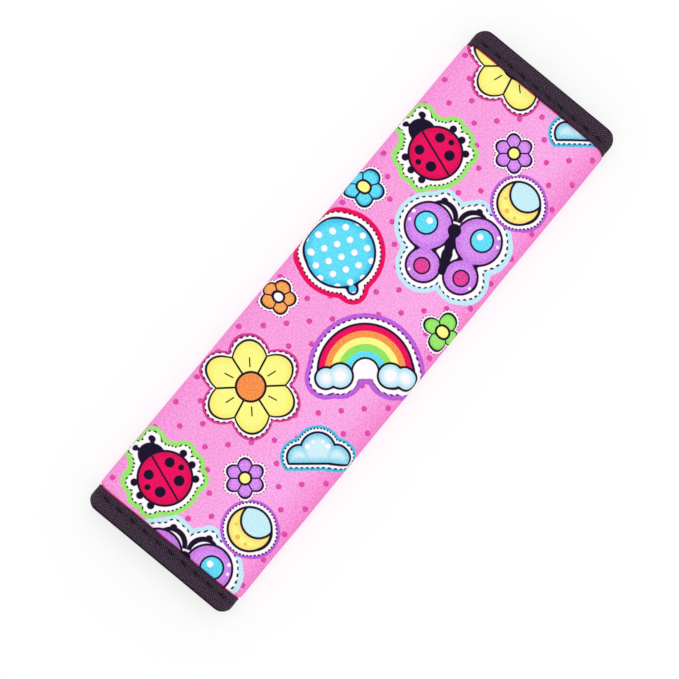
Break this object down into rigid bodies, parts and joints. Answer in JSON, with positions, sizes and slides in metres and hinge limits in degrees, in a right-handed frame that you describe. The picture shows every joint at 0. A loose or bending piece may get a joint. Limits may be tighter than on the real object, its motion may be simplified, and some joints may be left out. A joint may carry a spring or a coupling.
{
  "type": "seat belt shoulder pad",
  "caption": "Long padded cloth sleeve that wraps round a car seat belt at the shoulder, closed on its back by hook and loop strips, with dark tape bound over both ends.",
  "frame": {"origin": "middle of the pad's underside, where its back rests on the surface", "axes": "+Y along the belt, towards the end at the shoulder; +Z out of the printed front; +X across the belt, towards the fold of the outer flap"},
  "size_m": [0.081, 0.28, 0.0175],
  "materials": {
    "printed_cloth": "soft printed polyester knit, matt",
    "foam": "open-cell polyurethane foam, matt",
    "lining_cloth": "plain woven polyester lining, matt",
    "twill_tape": "woven twill binding tape, matt",
    "thread": "spun polyester sewing thread, faint sheen",
    "hook_tape": "woven nylon base with standing moulded hooks, satin",
    "loop_tape": "woven nylon base with brushed loops, matt"
  },
  "bodies": {
    "root": {"face_cloth": "printed_cloth", "foam_padding": "foam", "lining": "lining_cloth", "end_binding_upper": "twill_tape", "end_binding_lower": "twill_tape", "binding_thread_upper": "thread", "binding_thread_lower": "thread", "hook_strip": "hook_tape", "loop_strip": "loop_tape"}
  },
  "joints": []
}
